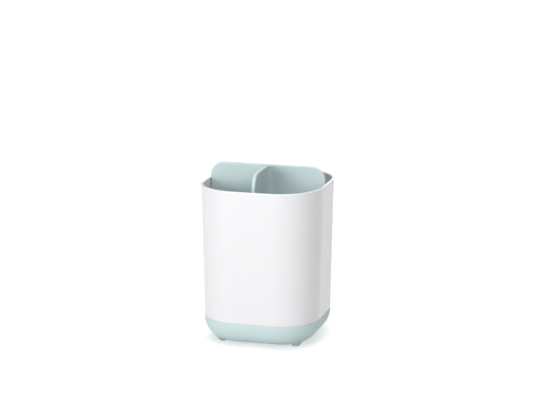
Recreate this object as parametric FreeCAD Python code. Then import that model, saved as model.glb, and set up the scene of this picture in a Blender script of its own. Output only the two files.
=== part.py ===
# Toothbrush holder: a tapered sleeve with a rounded square plan that stands on a drip tray with four
# soft feet. A slotted floor drops into the sleeve, and a T-shaped divider stands on that floor, so
# there are two small compartments in front and a large one behind.
# Millimetres. +Z is up, +X is to the right, the front is towards -Y. The origin is on the surface
# that the feet stand on, under the middle of the sleeve.
import FreeCAD, Part
import os
from math import cos, pi, sin, sqrt, tan

Vector = FreeCAD.Vector

# Sleeve
rim_width = 100.0             # across the flats, at the rim
rim_corner_radius = 35.0      # outer plan radius at the rim
rim_height = 128.7            # above the surface it stands on
seam_height = 20.4            # where the sleeve's lower edge meets the tray
sleeve_taper = 2.35           # each side comes in by this much from the rim down to the seam
sleeve_wall = 2.0
lip_round = 0.85              # both edges of the rim
seam_round = 0.5              # the sleeve's lower outer edge

# The sleeve's skirt, which plugs into the tray, and its shelf, which carries the floor
skirt_inset = 3.2             # from the sleeve's outer face at the seam to the skirt's outer face
skirt_depth = 6.4
skirt_wall = 2.0
shelf_thickness = 2.0

# Drip tray
socket_clearance = 0.35       # skirt to tray, all round
socket_floor_gap = 0.5        # under the skirt's end
tray_ledge = 0.8              # step between the socket and the bowl
tray_floor = 2.2
underside_height = 1.3        # the tray's flat underside, above the surface it stands on
underside_inset = 19.0        # each side curves in by this much from the seam to the underside
underside_corner_radius = 12.0
tray_edge_round = 0.4         # the tray's upper outer edge
bowl_steps = 6                # sections of the bowl's curve
bowl_fall_share = 0.94        # powers of the curve from the seam to the underside: a quarter
bowl_width_share = 1.0        # ellipse has 1 and 1, and smaller ones are fuller

# Feet
foot_side_offset = 1.85       # each foot's centre, outside the flat of the underside at the side
foot_front_offset = -2.15     # and inside it at the front and the rear
foot_rest_radius = 2.6        # the flat that stands on the surface
foot_flare_radius = 6.4
foot_flare_height = 5.2
foot_edge_round = 0.5
foot_plug_radius = 2.6
foot_plug_height = 4.5        # above the tray's underside
foot_plug_clearance = 0.08
foot_plug_end_gap = 0.3
boss_wall = 1.8               # round and over each foot's plug, inside the tray

# Slotted floor
floor_thickness = 2.2
floor_clearance = 0.4         # to the sleeve's inner face
slot_width = 3.0
slot_corner_share = 0.45      # of the slot's width
slot_pitch = 6.0
slot_edge_margin = 5.0
slot_rail_gap = 1.6           # from a slot to the divider's rails
slot_least_length = 8.0
rail_wall = 1.4               # the low rails that hold the divider's foot
rail_height = 2.2
rail_clearance = 0.3
rail_end_margin = 1.5

# Divider
divider_rise = 13.1           # above the rim
divider_thickness = 3.0
divider_end_clearance = 0.4   # to the sleeve's inner face
divider_corner_radius = 11.5  # upper corners of both walls
divider_fillet = 5.0          # plan fillets where the two walls meet
divider_edge_round = 1.2
fin_front_gap = 2.25          # from the front wall's free edge to the sleeve, at the floor

overrun = 1.0                 # cuts pass this far beyond what they cut
level_tolerance = 0.01        # edges this near to a height lie on it
wall_round_share = 0.45       # a rounding takes no more of its wall than this
sharp_turn = 0.5              # radians between two faces, above which their edge is sharp

# What follows from those sizes
rim_half = rim_width / 2
corner_centre = rim_half - rim_corner_radius
seam_half = rim_half - sleeve_taper
taper_slope = sleeve_taper / (rim_height - seam_height)
shelf_top = seam_height + shelf_thickness
floor_top = shelf_top + floor_thickness
divider_top = rim_height + divider_rise
skirt_half = seam_half - skirt_inset
skirt_bottom = seam_height - skirt_depth
socket_half = skirt_half + socket_clearance
bowl_half = socket_half - tray_ledge
bowl_top = skirt_bottom - socket_floor_gap
bowl_bottom = underside_height + tray_floor
underside_half = seam_half - underside_inset
foot_x = underside_half + foot_side_offset
foot_y = underside_half + foot_front_offset
foot_plug_top = underside_height + foot_plug_height
feet = {
    "foot_front_left": (-foot_x, -foot_y),
    "foot_front_right": (foot_x, -foot_y),
    "foot_rear_left": (-foot_x, foot_y),
    "foot_rear_right": (foot_x, foot_y),
}


def rounded_wire(points, radii):
    """A closed wire through the points, each corner turned by an arc of its own radius."""
    starts = []
    middles = []
    ends = []
    for index, corner in enumerate(points):
        before = (points[index - 1] - corner).normalize()
        after = (points[(index + 1) % len(points)] - corner).normalize()
        half_angle = before.getAngle(after) / 2
        radius = radii[index]
        starts.append(corner + before * (radius / tan(half_angle)))
        ends.append(corner + after * (radius / tan(half_angle)))
        inward = (before + after).normalize()
        middles.append(corner + inward * (radius / sin(half_angle) - radius))
    edges = []
    for index, radius in enumerate(radii):
        if radius > 0:
            edges.append(Part.Arc(starts[index], middles[index], ends[index]).toShape())
        following = starts[(index + 1) % len(points)]
        edges.append(Part.LineSegment(ends[index], following).toShape())
    return Part.Wire(edges)


def rounded_square(half, radius, height):
    corners = [(-half, -half), (half, -half), (half, half), (-half, half)]
    return rounded_wire([Vector(x, y, height) for x, y in corners], [radius] * len(corners))


def rounded_block(half, bottom, top):
    """A straight block whose corners share the sleeve's corner centres."""
    outline = rounded_square(half, half - corner_centre, bottom)
    return Part.Face(outline).extrude(Vector(0, 0, top - bottom))


def sleeve_half(height, inset):
    """Half the sleeve's width at a height, less an inset."""
    return rim_half - taper_slope * (rim_height - height) - inset


def sleeve_block(bottom, top, inset):
    """The sleeve's tapered form, moved inwards by the inset."""
    sections = []
    for height in (bottom, top):
        half = sleeve_half(height, inset)
        sections.append(rounded_square(half, half - corner_centre, height))
    return Part.makeLoft(sections, True, True)


def bowl_block(top_half, top, bottom):
    """The tray's bowl: its plan grows smaller and squarer as it curves in to the underside."""
    top_radius = top_half - corner_centre
    sections = []
    for step in range(bowl_steps + 1):
        turn = pi / 2 * step / bowl_steps
        fall = sin(turn) ** bowl_fall_share
        kept = max(cos(turn), 0) ** bowl_width_share
        half = underside_half + (top_half - underside_half) * kept
        radius = underside_corner_radius + (top_radius - underside_corner_radius) * kept
        sections.append(rounded_square(half, radius, top - (top - bottom) * fall))
    return Part.makeLoft(sections, True, False)


def level_edges(shape, height, least_reach):
    """The shape's edges that lie at a height and reach at least that far from the middle."""
    found = []
    for edge in shape.Edges:
        box = edge.BoundBox
        away = max(abs(box.ZMin - height), abs(box.ZMax - height))
        reach = max(abs(box.XMin), abs(box.XMax), abs(box.YMin), abs(box.YMax))
        if away < level_tolerance and reach > least_reach:
            found.append(edge)
    return found


def sharp_edges(shape, height):
    """The shape's edges that reach above a height and where two faces meet at an angle."""
    found = []
    for edge in shape.Edges:
        middle = edge.valueAt((edge.FirstParameter + edge.LastParameter) / 2)
        normals = []
        for face in shape.ancestorsOfType(edge, Part.Face):
            u, v = face.Surface.parameter(middle)
            normals.append(face.normalAt(u, v))
        turned = len(normals) == 2 and normals[0].getAngle(normals[1]) > sharp_turn
        if turned and edge.BoundBox.ZMax > height + level_tolerance:
            found.append(edge)
    return found


def make_outer_sleeve():
    shell = sleeve_block(seam_height, rim_height, 0)
    shell = shell.cut(sleeve_block(shelf_top, rim_height + overrun, sleeve_wall))
    shell = shell.fuse(rounded_block(skirt_half, skirt_bottom, shelf_top))
    inside_half = skirt_half - skirt_wall
    shell = shell.cut(rounded_block(inside_half, skirt_bottom - overrun, shelf_top + overrun))
    shell = shell.removeSplitter()
    lip_radius = min(lip_round, sleeve_wall * wall_round_share)
    shell = shell.makeFillet(lip_radius, level_edges(shell, rim_height, 0))
    lower_edge = level_edges(shell, seam_height, seam_half - skirt_inset / 2)
    return shell.makeFillet(min(seam_round, skirt_inset * wall_round_share), lower_edge)


def make_base_tray(form):
    rim_wall = seam_half - socket_half
    edge_radius = min(tray_edge_round, rim_wall * wall_round_share)
    tray = form.makeFillet(edge_radius, level_edges(form, seam_height, 0))
    bowl = bowl_block(bowl_half, bowl_top, bowl_bottom)
    socket = rounded_block(socket_half, bowl_top, seam_height + overrun)
    tray = tray.cut(bowl.fuse(socket))
    hole_radius = foot_plug_radius + foot_plug_clearance
    hole_top = foot_plug_top + foot_plug_end_gap
    boss_height = hole_top + boss_wall - underside_height
    for x, y in feet.values():
        boss = Part.makeCylinder(hole_radius + boss_wall, boss_height, Vector(x, y, underside_height))
        hole = Part.makeCylinder(hole_radius, hole_top + overrun, Vector(x, y, -overrun))
        tray = tray.fuse(boss.common(form)).cut(hole)
    return tray


def make_foot(x, y, form):
    flare = Part.makeCone(foot_rest_radius, foot_flare_radius, foot_flare_height, Vector(x, y, 0))
    flare = flare.makeFillet(foot_edge_round, level_edges(flare, 0, 0))
    plug_start = underside_height / 2
    plug = Part.makeCylinder(foot_plug_radius, foot_plug_top - plug_start, Vector(x, y, plug_start))
    return flare.cut(form).fuse(plug).removeSplitter()


def t_plan(thickness, half_length, reach, fillet):
    """The divider's plan at the floor: a wall across, and a wall from its middle to the front."""
    half = thickness / 2
    points = [(-half_length, half), (-half_length, -half), (-half, -half), (-half, -reach),
              (half, -reach), (half, -half), (half_length, -half), (half_length, half)]
    radii = [0, 0, fillet, 0, 0, fillet, 0, 0]
    return Part.Face(rounded_wire([Vector(x, y, floor_top) for x, y in points], radii))


def slot_block(x, start, end):
    """A slot with rounded ends that runs fore and aft through the floor."""
    left = x - slot_width / 2
    right = x + slot_width / 2
    corners = [(left, start), (right, start), (right, end), (left, end)]
    points = [Vector(across, along, shelf_top - overrun) for across, along in corners]
    outline = rounded_wire(points, [slot_width * slot_corner_share] * len(points))
    return Part.Face(outline).extrude(Vector(0, 0, floor_thickness + 2 * overrun))


def floor_reach(x, half):
    """How far the floor's outline reaches, front and rear, at a place across its width."""
    radius = half - corner_centre
    beyond = max(x - corner_centre, 0)
    return corner_centre + sqrt(radius ** 2 - beyond ** 2)


def make_drain_floor(fin_reach):
    half = sleeve_half(shelf_top, sleeve_wall) - floor_clearance
    groove_width = divider_thickness + 2 * rail_clearance
    rails_width = groove_width + 2 * rail_wall
    groove_fillet = divider_fillet - rail_clearance
    rails = t_plan(rails_width, half - rail_end_margin, fin_reach - rail_end_margin,
                   groove_fillet - rail_wall)
    groove = t_plan(groove_width, rim_half, rim_half, groove_fillet)
    rails = rails.cut(groove).extrude(Vector(0, 0, rail_height))
    floor = rounded_block(half, shelf_top, floor_top).fuse(rails)
    first = rails_width / 2 + slot_rail_gap
    columns = int((half - slot_edge_margin) / slot_pitch)
    slots = []
    for column in range(-columns, columns + 1):
        x = column * slot_pitch
        last = floor_reach(abs(x) + slot_width / 2, half) - slot_edge_margin
        if last - first > slot_least_length:
            slots.append(slot_block(x, first, last))
            if abs(x) - slot_width / 2 > first:
                slots.append(slot_block(x, -last, -first))
    return floor.cut(Part.makeCompound(slots)).removeSplitter()


def make_divider(fin_reach):
    plan = t_plan(divider_thickness, rim_half, fin_reach, divider_fillet)
    walls = plan.extrude(Vector(0, 0, divider_top - floor_top))
    low = sleeve_half(floor_top, sleeve_wall) - divider_end_clearance
    high = sleeve_half(divider_top, sleeve_wall) - divider_end_clearance
    front = -rim_half
    across = [Vector(-low, front, floor_top), Vector(low, front, floor_top),
              Vector(high, front, divider_top), Vector(-high, front, divider_top)]
    across_radii = [0, 0, divider_corner_radius, divider_corner_radius]
    front_view = Part.Face(rounded_wire(across, across_radii)).extrude(Vector(0, rim_width, 0))
    left = -rim_half
    along = [Vector(left, -fin_reach, floor_top), Vector(left, rim_half, floor_top),
             Vector(left, rim_half, divider_top), Vector(left, -fin_reach, divider_top)]
    along_radii = [0, 0, 0, divider_corner_radius]
    side_view = Part.Face(rounded_wire(along, along_radii)).extrude(Vector(rim_width, 0, 0))
    walls = walls.common(front_view).common(side_view).removeSplitter()
    edge_radius = min(divider_edge_round, divider_thickness * wall_round_share)
    return walls.makeFillet(edge_radius, sharp_edges(walls, floor_top))


def main():
    os.makedirs("parts", exist_ok=True)
    tray_form = bowl_block(seam_half, seam_height, underside_height)
    fin_reach = sleeve_half(floor_top, sleeve_wall) - fin_front_gap
    nodes = {
        "outer_sleeve": make_outer_sleeve(),
        "base_tray": make_base_tray(tray_form),
        "drain_floor": make_drain_floor(fin_reach),
        "divider": make_divider(fin_reach),
    }
    for name, (x, y) in feet.items():
        nodes[name] = make_foot(x, y, tray_form)
    for name, shape in nodes.items():
        print(name, "solids", len(shape.Solids), "volume", round(shape.Volume), "valid", shape.isValid())
        shape.exportStep("parts/" + name + ".step")


main()
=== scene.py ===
import bmesh
import bpy
from math import cos, hypot, pi, radians, sin, sqrt
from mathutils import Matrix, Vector


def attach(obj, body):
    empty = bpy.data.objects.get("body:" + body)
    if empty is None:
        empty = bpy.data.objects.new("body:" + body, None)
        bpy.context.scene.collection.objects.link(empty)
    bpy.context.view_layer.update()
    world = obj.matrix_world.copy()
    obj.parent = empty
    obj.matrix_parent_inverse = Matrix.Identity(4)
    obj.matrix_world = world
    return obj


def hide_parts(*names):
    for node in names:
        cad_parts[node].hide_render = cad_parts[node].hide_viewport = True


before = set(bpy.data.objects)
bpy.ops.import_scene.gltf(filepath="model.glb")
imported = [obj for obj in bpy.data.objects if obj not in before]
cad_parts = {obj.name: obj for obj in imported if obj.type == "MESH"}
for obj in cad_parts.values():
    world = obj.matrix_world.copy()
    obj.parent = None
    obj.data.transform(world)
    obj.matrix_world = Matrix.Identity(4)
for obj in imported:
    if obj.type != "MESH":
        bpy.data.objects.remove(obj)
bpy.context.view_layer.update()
print("frame loaded with", len(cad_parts), "CAD nodes")

mm = 0.001
near = 0.01 * mm  # places closer than this count as the same
level = 0.03 * mm  # a bridge needs two heights, so one of two level rings is this much off
overshoot = 1 * mm  # how far a cutter or a joined bar goes past the face that it meets
smoothAngle = radians(40)  # edges sharper than this stay crisp
sharpAngle = radians(50)  # edges sharper than this are rounded

# the plan that the sleeve, floor and tray share: a square with corners turned about fixed centres
plan = {
    "cornerCentre": 15 * mm,
    "cornerSegments": 20,
    "rimHalf": 50 * mm,
    "rimHeight": 128.7 * mm,
    "seamHalf": 47.65 * mm,
    "seamHeight": 20.4 * mm,
}


# modelling helpers

def openPiece(name):
    bpy.ops.object.select_all(action="DESELECT")
    bpy.ops.mesh.primitive_plane_add()
    piece = bpy.context.object
    piece.name = name
    piece.data.name = name
    bpy.ops.object.mode_set(mode="EDIT")
    bpy.ops.mesh.select_all(action="SELECT")
    bpy.ops.mesh.delete(type="VERT")  # the piece starts empty, at the origin
    return piece


def pick(kind, test):
    # selects what passes a test on its place, in the mesh that is open
    bpy.ops.mesh.select_mode(type=kind)
    bpy.ops.mesh.select_all(action="DESELECT")
    data = bpy.context.object.data
    mesh = bmesh.from_edit_mesh(data)
    items = {"VERT": mesh.verts, "EDGE": mesh.edges, "FACE": mesh.faces}[kind]
    found = [item for item in items if test(item)]
    for item in found:
        item.select_set(True)
    bmesh.update_edit_mesh(data)


def reach(point, centre):
    # half the width of the rounded square that a point lies on
    across = abs(point.x)
    along = abs(point.y)
    if across < centre or along < centre:
        return max(across, along)
    return centre + hypot(across - centre, along - centre)


def planRing(half, height):
    return half, half - plan["cornerCentre"], height


def onRing(point, ring):
    half, radius, height = ring
    return abs(point.z - height) < near and abs(reach(point, half - radius) - half) < near


def pickRings(*rings):
    def edgeOnRing(edge):
        return any(all(onRing(corner.co, ring) for corner in edge.verts) for ring in rings)

    pick("EDGE", edgeOnRing)


def addRing(ring):
    half, radius, height = ring
    bpy.ops.mesh.select_mode(type="VERT")
    bpy.ops.mesh.select_all(action="DESELECT")
    bpy.ops.mesh.primitive_plane_add(size=2 * half, location=(0, 0, height))
    bpy.ops.mesh.bevel(affect="VERTICES", offset=radius, segments=plan["cornerSegments"])
    bpy.ops.mesh.delete(type="ONLY_FACE")


def bridgeRings(rings, cuts):
    # cuts gives the loops between each ring and the next
    for ring in rings:
        addRing(ring)
    for first, second, between in zip(rings, rings[1:] + rings[:1], cuts):
        pickRings(first, second)
        bpy.ops.mesh.bridge_edge_loops(number_cuts=between, interpolation="LINEAR")


def roundEdges(width, segments):
    bpy.ops.mesh.bevel(affect="EDGES", offset=width, segments=segments, profile=0.5)


def fillRing(ring):
    pickRings(ring)
    bpy.ops.mesh.edge_face_add()


def addBlock(low, high):
    # a box between two corners, in the mesh that is open
    bpy.ops.mesh.select_mode(type="VERT")
    bpy.ops.mesh.select_all(action="DESELECT")
    middle = (Vector(low) + Vector(high)) / 2
    bpy.ops.mesh.primitive_cube_add(size=1, location=middle, scale=Vector(high) - Vector(low))


def closePiece():
    bpy.ops.mesh.select_all(action="SELECT")
    bpy.ops.mesh.remove_doubles(threshold=near / 4)
    bpy.ops.mesh.normals_make_consistent(inside=False)
    bpy.ops.object.mode_set(mode="OBJECT")


def applyModifier(piece, kind, **settings):
    bpy.ops.object.select_all(action="DESELECT")
    piece.select_set(True)
    bpy.context.view_layer.objects.active = piece
    bpy.ops.object.modifier_add(type=kind)
    modifier = piece.modifiers[-1]
    for name, value in settings.items():
        setattr(modifier, name, value)
    bpy.ops.object.modifier_apply(modifier=modifier.name)


def cutWith(piece, tool, operation):
    applyModifier(piece, "BOOLEAN", operation=operation, object=tool, solver="EXACT")


def removePiece(piece):
    bpy.data.objects.remove(piece, do_unlink=True)


def smoothPiece(piece, angle=smoothAngle):
    bpy.ops.object.select_all(action="DESELECT")
    piece.select_set(True)
    bpy.context.view_layer.objects.active = piece
    bpy.ops.object.shade_smooth_by_angle(angle=angle)
    applyModifier(piece, "WEIGHTED_NORMAL", keep_sharp=True)


def placePiece(piece, body, node, finish):
    piece.data.materials.clear()
    piece.data.materials.append(finish)
    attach(piece, body)
    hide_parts(node)
    print("made", piece.name, "with", len(piece.data.polygons), "faces")


# materials

def newMaterial(name):
    material = bpy.data.materials.new(name)
    material.use_nodes = True
    return material, material.node_tree.nodes, material.node_tree.links


def makeMouldGrain():
    # fine texture of a moulded face: two sizes of noise as a height, and a slow drift of tone
    group = bpy.data.node_groups.new("mouldGrain", "ShaderNodeTree")
    group.interface.new_socket("Place", in_out="INPUT", socket_type="NodeSocketVector")
    for name, value in (("Grain Size", 2500), ("Drift Size", 30), ("Ripple Share", 0.3)):
        socket = group.interface.new_socket(name, in_out="INPUT", socket_type="NodeSocketFloat")
        socket.default_value = value
    for name in ("Height", "Drift"):
        group.interface.new_socket(name, in_out="OUTPUT", socket_type="NodeSocketFloat")
    nodes, links = group.nodes, group.links
    inputs = nodes.new("NodeGroupInput")
    outputs = nodes.new("NodeGroupOutput")
    grain = nodes.new("ShaderNodeTexNoise")
    grain.inputs["Detail"].default_value = 3
    ripple = nodes.new("ShaderNodeTexNoise")
    ripple.inputs["Detail"].default_value = 1
    drift = nodes.new("ShaderNodeTexNoise")
    drift.inputs["Detail"].default_value = 2
    coarse = nodes.new("ShaderNodeMath")
    coarse.operation = "MULTIPLY"
    coarse.inputs[1].default_value = 0.15  # the ripple is this much of the grain's scale
    mixed = nodes.new("ShaderNodeMix")
    for noise in (grain, ripple, drift):
        links.new(inputs.outputs["Place"], noise.inputs["Vector"])
    links.new(inputs.outputs["Grain Size"], grain.inputs["Scale"])
    links.new(inputs.outputs["Grain Size"], coarse.inputs[0])
    links.new(coarse.outputs[0], ripple.inputs["Scale"])
    links.new(inputs.outputs["Drift Size"], drift.inputs["Scale"])
    links.new(inputs.outputs["Ripple Share"], mixed.inputs["Factor"])
    links.new(grain.outputs["Fac"], mixed.inputs["A"])
    links.new(ripple.outputs["Fac"], mixed.inputs["B"])
    links.new(mixed.outputs["Result"], outputs.inputs["Height"])
    links.new(drift.outputs["Fac"], outputs.inputs["Drift"])
    return group


def makeEdgeSheenAndRub():
    # a mask of the outer edges, where hands and cloths polish the plastic and where a painted highlight
    # lightens them, broken up by noise
    group = bpy.data.node_groups.new("edgeSheenAndRub", "ShaderNodeTree")
    group.interface.new_socket("Place", in_out="INPUT", socket_type="NodeSocketVector")
    group.interface.new_socket("Start", in_out="INPUT", socket_type="NodeSocketFloat").default_value = 0.52
    group.interface.new_socket("End", in_out="INPUT", socket_type="NodeSocketFloat").default_value = 0.6
    group.interface.new_socket("Mask", in_out="OUTPUT", socket_type="NodeSocketFloat")
    nodes, links = group.nodes, group.links
    inputs = nodes.new("NodeGroupInput")
    outputs = nodes.new("NodeGroupOutput")
    shape = nodes.new("ShaderNodeNewGeometry")
    edge = nodes.new("ShaderNodeMapRange")
    patches = nodes.new("ShaderNodeTexNoise")
    patches.inputs["Scale"].default_value = 90
    broken = nodes.new("ShaderNodeMath")
    broken.operation = "MULTIPLY"
    links.new(shape.outputs["Pointiness"], edge.inputs["Value"])
    links.new(inputs.outputs["Start"], edge.inputs["From Min"])
    links.new(inputs.outputs["End"], edge.inputs["From Max"])
    links.new(inputs.outputs["Place"], patches.inputs["Vector"])
    links.new(edge.outputs["Result"], broken.inputs[0])
    links.new(patches.outputs["Fac"], broken.inputs[1])
    links.new(broken.outputs[0], outputs.inputs["Mask"])
    return group


mouldGrain = makeMouldGrain()
edgeSheenAndRub = makeEdgeSheenAndRub()


def makePlastic(name, look):
    material, nodes, links = newMaterial(name)
    shader = nodes["Principled BSDF"]
    shader.inputs["IOR"].default_value = look["ior"]
    place = nodes.new("ShaderNodeTexCoord")
    grain = nodes.new("ShaderNodeGroup")
    grain.node_tree = mouldGrain
    grain.inputs["Grain Size"].default_value = look["grainSize"]
    grain.inputs["Drift Size"].default_value = look["driftSize"]
    grain.inputs["Ripple Share"].default_value = look["rippleShare"]
    sheenAndRub = nodes.new("ShaderNodeGroup")
    sheenAndRub.node_tree = edgeSheenAndRub
    tone = nodes.new("ShaderNodeMix")
    tone.data_type = "RGBA"
    tone.inputs["A"].default_value = (*look["deepColour"], 1)
    tone.inputs["B"].default_value = (*look["paleColour"], 1)
    # outer edges are mixed toward a lighter colour: partly polishing wear, partly a painted highlight
    sheenedAndRubbed = nodes.new("ShaderNodeMix")
    sheenedAndRubbed.data_type = "RGBA"
    sheenedAndRubbed.inputs["B"].default_value = (*look["sheenAndRubColour"], 1)
    dull = nodes.new("ShaderNodeMapRange")
    dull.inputs["To Min"].default_value = look["smoothest"]
    dull.inputs["To Max"].default_value = look["dullest"]
    bump = nodes.new("ShaderNodeBump")
    bump.inputs["Strength"].default_value = look["bumpStrength"]
    bump.inputs["Distance"].default_value = look["bumpDepth"]
    links.new(place.outputs["Object"], grain.inputs["Place"])
    links.new(place.outputs["Object"], sheenAndRub.inputs["Place"])
    links.new(grain.outputs["Drift"], tone.inputs["Factor"])
    links.new(tone.outputs["Result"], sheenedAndRubbed.inputs["A"])
    links.new(sheenAndRub.outputs["Mask"], sheenedAndRubbed.inputs["Factor"])
    links.new(sheenedAndRubbed.outputs["Result"], shader.inputs["Base Color"])
    links.new(grain.outputs["Drift"], dull.inputs["Value"])
    links.new(dull.outputs["Result"], shader.inputs["Roughness"])
    links.new(grain.outputs["Height"], bump.inputs["Height"])
    links.new(bump.outputs["Normal"], shader.inputs["Normal"])
    return material


# each finish's rub colour is the lighter colour of its outer edges: partly wear, partly a painted highlight
glossWhite = makePlastic("glossWhite", {
    "paleColour": (0.793, 0.796, 0.808), "deepColour": (0.781, 0.784, 0.796),
    "sheenAndRubColour": (0.835, 0.835, 0.84),
    "smoothest": 0.16, "dullest": 0.24, "ior": 1.5,
    "grainSize": 700, "driftSize": 18, "rippleShare": 0.75, "bumpStrength": 0.05, "bumpDepth": 0.05 * mm,
})
satinBlue = makePlastic("satinBlue", {
    "paleColour": (0.592, 0.716, 0.718), "deepColour": (0.572, 0.695, 0.699),
    "sheenAndRubColour": (0.65, 0.767, 0.768),
    "smoothest": 0.54, "dullest": 0.64, "ior": 1.38,
    "grainSize": 3200, "driftSize": 35, "rippleShare": 0.25, "bumpStrength": 0.22, "bumpDepth": 0.04 * mm,
})
softFoot = makePlastic("softFoot", {
    "paleColour": (0.50, 0.60, 0.63), "deepColour": (0.46, 0.56, 0.59),
    "sheenAndRubColour": (0.56, 0.65, 0.67),
    "smoothest": 0.62, "dullest": 0.78, "ior": 1.42,
    "grainSize": 2200, "driftSize": 120, "rippleShare": 0.4, "bumpStrength": 0.3, "bumpDepth": 0.05 * mm,
})
print("materials ready")


# outer sleeve: a tapered tube with a shelf inside its lower end, and a skirt that plugs into the tray
sleeveSizes = {
    "wall": 2 * mm,
    "lipRound": 0.85 * mm,
    "lipSegments": 5,
    "seamRound": 0.5 * mm,
    "seamSegments": 4,
    "shelfHeight": 22.4 * mm,
    "skirtHalf": 44.45 * mm,
    "skirtWall": 2 * mm,
    "skirtBottom": 14 * mm,
    "innerRound": 0.3 * mm,
    "innerSegments": 2,
    "wallLoops": 8,
}


def sleeveHalf(height):
    # the sleeve's outer half width, straight from the seam to the rim
    share = (height - plan["seamHeight"]) / (plan["rimHeight"] - plan["seamHeight"])
    return plan["seamHalf"] + (plan["rimHalf"] - plan["seamHalf"]) * share


def makeSleeve():
    sizes = sleeveSizes
    insideHalf = sizes["skirtHalf"] - sizes["skirtWall"]
    outerSeam = planRing(plan["seamHalf"], plan["seamHeight"])
    outerRim = planRing(plan["rimHalf"], plan["rimHeight"])
    innerRim = planRing(plan["rimHalf"] - sizes["wall"], plan["rimHeight"] - level)
    shelfCorner = planRing(sleeveHalf(sizes["shelfHeight"]) - sizes["wall"], sizes["shelfHeight"])
    shelfEdge = planRing(insideHalf, sizes["shelfHeight"] - level)
    skirtInside = planRing(insideHalf, sizes["skirtBottom"] + level)
    skirtOutside = planRing(sizes["skirtHalf"], sizes["skirtBottom"])
    skirtTop = planRing(sizes["skirtHalf"], plan["seamHeight"] + level)
    piece = openPiece("outerSleeve")
    loops = sizes["wallLoops"]
    rings = [outerSeam, outerRim, innerRim, shelfCorner, shelfEdge, skirtInside, skirtOutside, skirtTop]
    bridgeRings(rings, [loops, 0, loops, 0, 1, 0, 1, 0])
    pickRings(outerRim, innerRim)
    roundEdges(sizes["lipRound"], sizes["lipSegments"])
    pickRings(outerSeam)
    roundEdges(sizes["seamRound"], sizes["seamSegments"])
    pickRings(shelfEdge, skirtInside, skirtOutside, shelfCorner)
    roundEdges(sizes["innerRound"], sizes["innerSegments"])
    closePiece()
    smoothPiece(piece)
    placePiece(piece, "sleeve", "outer_sleeve", glossWhite)


makeSleeve()


# drip tray: a bowl whose plan grows smaller and squarer as it curves in to the underside
traySizes = {
    "socketHalf": 44.8 * mm,
    "ledge": 0.8 * mm,
    "ledgeHeight": 13.5 * mm,
    "bowlBottom": 3.5 * mm,
    "undersideHalf": 28.65 * mm,
    "undersideRadius": 12 * mm,
    "undersideHeight": 1.3 * mm,
    "fallPower": 0.94,   # a quarter ellipse has 1 and 1, smaller powers are fuller
    "widthPower": 1,
    "steps": 18,
    "edgeRound": 0.4 * mm,
    "edgeSegments": 3,
    "panelInset": 8 * mm,  # a shallow panel sunk into the underside, between the feet
    "panelDepth": 0.4 * mm,
    "bossRadius": 4.48 * mm,
    "bossSides": 40,
    "bossFoot": 3.2 * mm,
    "bossTop": 7.9 * mm,
    "holeRadius": 2.68 * mm,
    "holeSides": 32,
    "holeTop": 6.1 * mm,
}
footPlaces = {
    "frontLeft": (-30.5 * mm, -26.5 * mm),
    "frontRight": (30.5 * mm, -26.5 * mm),
    "rearLeft": (-30.5 * mm, 26.5 * mm),
    "rearRight": (30.5 * mm, 26.5 * mm),
}


def bowlRings(topHalf, top, bottom):
    sizes = traySizes
    topRadius = topHalf - plan["cornerCentre"]
    rings = []
    for step in range(sizes["steps"] + 1):
        turn = pi / 2 * step / sizes["steps"]
        fall = sin(turn) ** sizes["fallPower"]
        kept = max(cos(turn), 0) ** sizes["widthPower"]
        half = sizes["undersideHalf"] + (topHalf - sizes["undersideHalf"]) * kept
        radius = sizes["undersideRadius"] + (topRadius - sizes["undersideRadius"]) * kept
        rings.append((half, radius, top - (top - bottom) * fall))
    return rings


def addPost(radius, low, high, place, sides):
    bpy.ops.mesh.select_mode(type="VERT")
    bpy.ops.mesh.select_all(action="DESELECT")
    middle = (*place, (low + high) / 2)
    bpy.ops.mesh.primitive_cylinder_add(vertices=sides, radius=radius, depth=high - low, location=middle)


def makeTrayForm():
    # the tray's outer form as one closed solid, which trims the feet
    rings = bowlRings(plan["seamHalf"], plan["seamHeight"], traySizes["undersideHeight"])
    form = openPiece("trayForm")
    bridgeRings(rings, [0] * (len(rings) - 1))
    fillRing(rings[0])
    fillRing(rings[-1])
    closePiece()
    return form


def makeTray():
    sizes = traySizes
    outer = bowlRings(plan["seamHalf"], plan["seamHeight"], sizes["undersideHeight"])
    inner = bowlRings(sizes["socketHalf"] - sizes["ledge"], sizes["ledgeHeight"], sizes["bowlBottom"])
    socketTop = planRing(sizes["socketHalf"], plan["seamHeight"] - level)
    socketBottom = planRing(sizes["socketHalf"], sizes["ledgeHeight"] + level)
    rings = outer[::-1] + [socketTop, socketBottom] + inner
    piece = openPiece("dripTray")
    bridgeRings(rings, [0] * (len(rings) - 1))
    fillRing(inner[-1])
    fillRing(outer[-1])
    bpy.ops.mesh.select_mode(type="FACE")
    bpy.ops.mesh.inset(thickness=sizes["panelInset"])
    bpy.ops.mesh.inset(thickness=sizes["panelDepth"], depth=-sizes["panelDepth"])
    pickRings(outer[0], socketTop)
    roundEdges(sizes["edgeRound"], sizes["edgeSegments"])
    closePiece()
    bosses = openPiece("trayBosses")
    for place in footPlaces.values():
        addPost(sizes["bossRadius"], sizes["bossFoot"], sizes["bossTop"], place, sizes["bossSides"])
    closePiece()
    cutWith(piece, bosses, "UNION")
    removePiece(bosses)
    holes = openPiece("trayHoles")
    for place in footPlaces.values():
        addPost(sizes["holeRadius"], -sizes["holeTop"], sizes["holeTop"], place, sizes["holeSides"])
    closePiece()
    cutWith(piece, holes, "DIFFERENCE")
    removePiece(holes)
    smoothPiece(piece)
    placePiece(piece, "tray", "base_tray", satinBlue)


trayForm = makeTrayForm()
makeTray()


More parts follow.
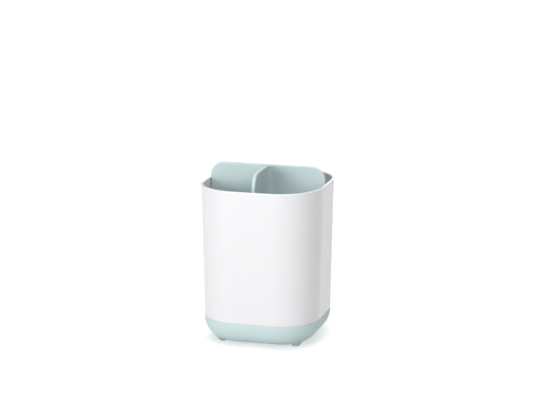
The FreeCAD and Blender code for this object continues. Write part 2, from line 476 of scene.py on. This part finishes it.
# feet: soft flared pads that plug into the tray
footSizes = {
    "restRadius": 2.6 * mm,
    "flareRadius": 6.4 * mm,
    "flareHeight": 5.2 * mm,
    "edgeRound": 0.5 * mm,
    "edgeSegments": 4,
    "plugRadius": 2.6 * mm,
    "plugSides": 32,
    "plugSegments": 2,
    "plugStart": 0.65 * mm,
    "plugTop": 5.8 * mm,
    "ringInset": 0.6 * mm,   # a shallow ring groove in the pad
    "ringWidth": 0.5 * mm,
    "ringDepth": 0.2 * mm,
    "sides": 48,
    "smoothAngle": radians(35),
}


def makeFoot(name, place):
    sizes = footSizes
    piece = openPiece(name)
    bpy.ops.mesh.primitive_cone_add(vertices=sizes["sides"], radius1=sizes["restRadius"],
                                    radius2=sizes["flareRadius"], depth=sizes["flareHeight"],
                                    location=(*place, sizes["flareHeight"] / 2))
    pick("EDGE", lambda edge: all(abs(corner.co.z) < near for corner in edge.verts))
    roundEdges(sizes["edgeRound"], sizes["edgeSegments"])
    pick("FACE", lambda face: face.normal.z < -0.9999)  # the face it stands on
    bpy.ops.mesh.inset(thickness=sizes["ringInset"])
    bpy.ops.mesh.inset(thickness=sizes["ringDepth"] / 2, depth=-sizes["ringDepth"])
    bpy.ops.mesh.inset(thickness=sizes["ringWidth"])
    bpy.ops.mesh.inset(thickness=sizes["ringDepth"] / 2, depth=sizes["ringDepth"])
    closePiece()
    cutWith(piece, trayForm, "DIFFERENCE")
    plug = openPiece("footPlug")
    addPost(sizes["plugRadius"], sizes["plugStart"], sizes["plugTop"], place, sizes["plugSides"])
    pick("EDGE", lambda edge: all(abs(corner.co.z - sizes["plugTop"]) < near for corner in edge.verts))
    roundEdges(sizes["edgeRound"], sizes["plugSegments"])
    closePiece()
    cutWith(piece, plug, "UNION")
    removePiece(plug)
    return piece


def mirrorFoot(foot, name, across, along):
    # a copy with its own mesh, mirrored to another corner of the tray
    bpy.ops.object.select_all(action="DESELECT")
    foot.select_set(True)
    bpy.context.view_layer.objects.active = foot
    bpy.ops.object.duplicate()
    copy = bpy.context.object
    copy.name = name
    copy.data.name = name
    bpy.ops.object.mode_set(mode="EDIT")
    bpy.ops.mesh.select_all(action="SELECT")
    bpy.ops.transform.mirror(constraint_axis=(across, along, False), center_override=(0, 0, 0))
    bpy.ops.mesh.normals_make_consistent(inside=False)
    bpy.ops.object.mode_set(mode="OBJECT")
    return copy


def finishFoot(piece, node):
    smoothPiece(piece, footSizes["smoothAngle"])
    placePiece(piece, "tray", node, softFoot)


frontLeft = makeFoot("footFrontLeft", footPlaces["frontLeft"])
frontRight = mirrorFoot(frontLeft, "footFrontRight", True, False)
rearLeft = mirrorFoot(frontLeft, "footRearLeft", False, True)
rearRight = mirrorFoot(frontLeft, "footRearRight", True, True)
finishFoot(frontLeft, "foot_front_left")
finishFoot(frontRight, "foot_front_right")
finishFoot(rearLeft, "foot_rear_left")
finishFoot(rearRight, "foot_rear_right")
removePiece(trayForm)


# divider: a wall across the sleeve and a fin from its middle to the front
dividerSizes = {
    "thickness": 3 * mm,
    "bottom": 24.6 * mm,
    "top": 141.8 * mm,
    "endClearance": 0.4 * mm,
    "finReach": 43.5 * mm,
    "cornerRadius": 11.5 * mm,
    "cornerSegments": 16,
    "junctionRadius": 5 * mm,
    "junctionSegments": 10,
    "edgeRound": 1.2 * mm,
    "edgeSegments": 5,
}


def makeDivider():
    sizes = dividerSizes
    side = sizes["thickness"] / 2
    innerGap = sleeveSizes["wall"] + sizes["endClearance"]
    lowEnd = sleeveHalf(sizes["bottom"]) - innerGap
    highEnd = sleeveHalf(sizes["top"]) - innerGap
    piece = openPiece("compartmentDivider")
    floorPoint = (0, 0, sizes["bottom"])

    # the plan: a strip for the wall, the fin drawn out of its middle, and a round where they meet
    bpy.ops.mesh.primitive_plane_add(size=1, location=floorPoint)
    bpy.ops.transform.resize(value=(2 * lowEnd, sizes["thickness"], 1), center_override=floorPoint)
    for across in (-side, side):
        bpy.ops.mesh.select_all(action="SELECT")
        bpy.ops.mesh.bisect(plane_co=(across, 0, 0), plane_no=(1, 0, 0))
    pick("EDGE", lambda edge: all(corner.co.y < near - side and abs(corner.co.x) < side + near
                                  for corner in edge.verts))
    bpy.ops.mesh.extrude_region_move(TRANSFORM_OT_translate={"value": (0, side - sizes["finReach"], 0)})
    bpy.ops.mesh.select_mode(type="FACE")
    bpy.ops.mesh.select_all(action="SELECT")
    bpy.ops.mesh.dissolve_faces(use_verts=False)
    pick("VERT", lambda corner: abs(abs(corner.co.x) - side) < near and abs(corner.co.y + side) < near)
    bpy.ops.mesh.bevel(affect="VERTICES", offset=sizes["junctionRadius"],
                       segments=sizes["junctionSegments"])
    bpy.ops.mesh.select_mode(type="FACE")
    bpy.ops.mesh.select_all(action="SELECT")
    rise = sizes["top"] - sizes["bottom"]
    bpy.ops.mesh.extrude_region_move(TRANSFORM_OT_translate={"value": (0, 0, rise)})

    # the wall's ends lean out with the sleeve
    for end in (-1, 1):
        pick("VERT", lambda corner: corner.co.x * end > lowEnd - near and corner.co.z > sizes["top"] - near)
        bpy.ops.transform.translate(value=(end * (highEnd - lowEnd), 0, 0))

    def isTopCorner(edge):
        atTop = all(corner.co.z > sizes["top"] - near for corner in edge.verts)
        atEnd = all(abs(corner.co.x) > lowEnd - near for corner in edge.verts)
        atFront = all(corner.co.y < near - sizes["finReach"] for corner in edge.verts)
        return atTop and (atEnd or atFront)

    pick("EDGE", isTopCorner)
    roundEdges(sizes["cornerRadius"], sizes["cornerSegments"])

    def isSharp(edge):
        aboveFloor = any(corner.co.z > sizes["bottom"] + near for corner in edge.verts)
        return aboveFloor and len(edge.link_faces) == 2 and edge.calc_face_angle() > sharpAngle

    pick("EDGE", isSharp)
    roundEdges(sizes["edgeRound"], sizes["edgeSegments"])
    closePiece()
    smoothPiece(piece)
    placePiece(piece, "divider", "divider", satinBlue)


makeDivider()


# slotted floor that stands on the sleeve's shelf, with low rails for the divider's foot
floorSizes = {
    "bottom": 22.4 * mm,
    "top": 24.6 * mm,
    "clearance": 0.4 * mm,
    "edgeRound": 0.4 * mm,
    "edgeSegments": 3,
    "slotWidth": 3 * mm,
    "slotRadius": 1.35 * mm,
    "slotSegments": 6,
    "slotPitch": 6 * mm,
    "slotMargin": 5 * mm,
    "slotStart": 4.8 * mm,
    "slotLeast": 8 * mm,
    "railWall": 1.4 * mm,
    "railTop": 26.8 * mm,
    "railInside": 1.8 * mm,
    "railEnd": 43.79 * mm,
    "railFront": 41.99 * mm,
    "railTurn": 4.7 * mm,
    "railSteps": 8,
    "railRound": 0.35 * mm,
    "railSegments": 3,
}


def floorReach(across, half):
    beyond = max(across - plan["cornerCentre"], 0)
    radius = half - plan["cornerCentre"]
    return plan["cornerCentre"] + sqrt(radius ** 2 - beyond ** 2)


def slotRuns(half):
    # left edge, start and end of each slot, front and rear
    sizes = floorSizes
    columns = int((half - sizes["slotMargin"]) / sizes["slotPitch"])
    runs = []
    for column in range(-columns, columns + 1):
        left = column * sizes["slotPitch"] - sizes["slotWidth"] / 2
        outside = max(abs(left), abs(left + sizes["slotWidth"]))
        inside = outside - sizes["slotWidth"]
        last = floorReach(outside, half) - sizes["slotMargin"]
        if last - sizes["slotStart"] > sizes["slotLeast"]:
            runs.append((left, sizes["slotStart"], last))
            if inside > sizes["slotStart"]:
                runs.append((left, -last, -sizes["slotStart"]))
    return runs


def makeSlotCutter(half):
    sizes = floorSizes
    cutter = openPiece("slotCutter")
    for left, start, end in slotRuns(half):
        addBlock((left, start, sizes["bottom"] - overshoot),
                 (left + sizes["slotWidth"], end, sizes["top"] + overshoot))
    pick("EDGE", lambda edge: abs(edge.verts[0].co.z - edge.verts[1].co.z) > overshoot)  # the upright ones
    roundEdges(sizes["slotRadius"], sizes["slotSegments"])
    closePiece()
    return cutter


def addFrontRail():
    # a bar from the left end of the wall to the fillet, round it, and along the fin
    sizes = floorSizes
    centre = sizes["railInside"] + sizes["railTurn"]
    addBlock((-sizes["railEnd"], -sizes["railInside"] - sizes["railWall"], sizes["bottom"] + overshoot),
             (-centre, -sizes["railInside"], sizes["railTop"]))
    pick("FACE", lambda face: face.normal.x > 0.99)  # the end next to the fillet
    # seen from above this turns clockwise
    bpy.ops.mesh.spin(steps=sizes["railSteps"], angle=pi / 2, center=(-centre, -centre, 0), axis=(0, 0, 1))
    bpy.ops.mesh.extrude_region_move(TRANSFORM_OT_translate={"value": (0, centre - sizes["railFront"], 0)})


def makeRails():
    sizes = floorSizes
    rails = openPiece("floorRails")
    addFrontRail()
    bpy.ops.mesh.select_all(action="SELECT")
    bpy.ops.mesh.duplicate()
    bpy.ops.transform.mirror(constraint_axis=(True, False, False), center_override=(0, 0, 0))
    addBlock((-sizes["railEnd"], sizes["railInside"], sizes["bottom"] + overshoot),
             (sizes["railEnd"], sizes["railInside"] + sizes["railWall"], sizes["railTop"]))
    bpy.ops.mesh.select_all(action="SELECT")
    bpy.ops.mesh.remove_doubles(threshold=near)
    bpy.ops.mesh.normals_make_consistent(inside=False)
    pick("EDGE", lambda edge: edge.calc_face_angle(0) > sharpAngle
         and all(corner.co.z > sizes["railTop"] - near for corner in edge.verts))
    roundEdges(sizes["railRound"], sizes["railSegments"])
    closePiece()
    return rails


def makeFloor():
    sizes = floorSizes
    half = sleeveHalf(sizes["bottom"]) - sleeveSizes["wall"] - sizes["clearance"]
    lower = planRing(half, sizes["bottom"])
    upper = planRing(half, sizes["top"])
    piece = openPiece("drainFloor")
    bridgeRings([lower, upper], [0])
    fillRing(lower)
    fillRing(upper)
    pickRings(upper)
    roundEdges(sizes["edgeRound"], sizes["edgeSegments"])
    closePiece()
    for tool, operation in ((makeSlotCutter(half), "DIFFERENCE"), (makeRails(), "UNION")):
        cutWith(piece, tool, operation)
        removePiece(tool)
    smoothPiece(piece)
    placePiece(piece, "floor", "drain_floor", satinBlue)


makeFloor()


# studio: pale floor, soft lights, and the camera at the photograph's place
studio = {
    "floorSize": 12,
    "floorColour": (0.6, 0.6, 0.6, 1),
    "floorGlow": 0.52,               # a light table, so that the shadows at the feet stay pale
    "floorReturn": 0.12,             # how much of that glow lights the holder from below
    "roomStrength": 0.1,
    "target": (0, 0, 70 * mm),
    "skies": [                       # name, direction it comes from, strength, spread
        ("overheadSky", (0, -0.07, 2), 1.83, radians(50)),
        ("frontSky", (-0.25, -1.39, 1.41), 0.23, radians(40)),
    ],
    "softboxes": [                   # name, place, width, height, power
        ("keyBox", (-0.45, -0.975, 0.29), 0.5, 0.36, 5.9),
        ("fillBox", (0.72, -0.72, 0.72), 0.7, 0.5, 3.3),
        ("backBox", (0, 2.3, 1.15), 1.15, 1.15, 18.4),
    ],
}


def lookAt(thing, target):
    direction = Vector(target) - thing.location
    thing.rotation_euler = direction.to_track_quat("-Z", "Y").to_euler()


def makeGround():
    bpy.ops.object.select_all(action="DESELECT")
    bpy.ops.mesh.primitive_plane_add(size=studio["floorSize"])
    ground = bpy.context.object
    ground.name = "studioFloor"
    material, nodes, links = newMaterial("paleFloor")
    shader = nodes["Principled BSDF"]
    shader.inputs["Base Color"].default_value = studio["floorColour"]
    shader.inputs["Roughness"].default_value = 0.9
    shader.inputs["Specular IOR Level"].default_value = 0
    shader.inputs["Emission Color"].default_value = (1, 1, 1, 1)
    rays = nodes.new("ShaderNodeLightPath")
    glow = nodes.new("ShaderNodeMapRange")
    glow.inputs["To Min"].default_value = studio["floorGlow"]
    glow.inputs["To Max"].default_value = studio["floorReturn"]
    links.new(rays.outputs["Is Diffuse Ray"], glow.inputs["Value"])
    links.new(glow.outputs["Result"], shader.inputs["Emission Strength"])
    material.cycles.emission_sampling = "NONE"
    ground.data.materials.append(material)


def makeLights():
    world = bpy.data.worlds.new("softWorld")
    bpy.context.scene.world = world
    world.use_nodes = True
    world.node_tree.nodes["Background"].inputs["Color"].default_value = (1, 1, 1, 1)
    world.node_tree.nodes["Background"].inputs["Strength"].default_value = studio["roomStrength"]
    for name, place, strength, spread in studio["skies"]:
        bpy.ops.object.light_add(type="SUN", location=place)
        sky = bpy.context.object
        sky.name = name
        sky.data.energy = strength
        sky.data.angle = spread
        lookAt(sky, (0, 0, 0))
    for name, place, width, height, power in studio["softboxes"]:
        bpy.ops.object.light_add(type="AREA", location=place)
        box = bpy.context.object
        box.name = name
        box.data.shape = "RECTANGLE"
        box.data.size = width
        box.data.size_y = height
        box.data.energy = power
        lookAt(box, studio["target"])
        box.visible_camera = False
    bpy.context.scene.view_settings.view_transform = "Standard"


cameraSizes = {
    "pivot": (0, 0, 70 * mm),
    "azimuth": radians(15.58),
    "elevation": radians(14.29),
    "distance": 1744.42 * mm,
    "aimRight": 1.66 * mm,
    "aimUp": 39.98 * mm,
    "focalPixels": 2153.81,
    "imageWidth": 540,
    "sensorWidth": 36,
}


def makeCamera():
    sizes = cameraSizes
    azimuth = sizes["azimuth"]
    outward = cos(sizes["elevation"])
    pivot = Vector(sizes["pivot"])
    back = Vector((sin(azimuth) * outward, -cos(azimuth) * outward, sin(sizes["elevation"])))
    right = Vector((cos(azimuth), sin(azimuth), 0))
    aim = pivot + right * sizes["aimRight"] + Vector((0, 0, sizes["aimUp"]))
    bpy.ops.object.camera_add(location=pivot + back * sizes["distance"])
    camera = bpy.context.object
    camera.name = "photoCamera"
    camera.data.sensor_width = sizes["sensorWidth"]
    camera.data.lens = sizes["focalPixels"] * sizes["sensorWidth"] / sizes["imageWidth"]
    lookAt(camera, aim)
    bpy.context.scene.camera = camera


makeGround()
makeLights()
makeCamera()
print("studio ready")
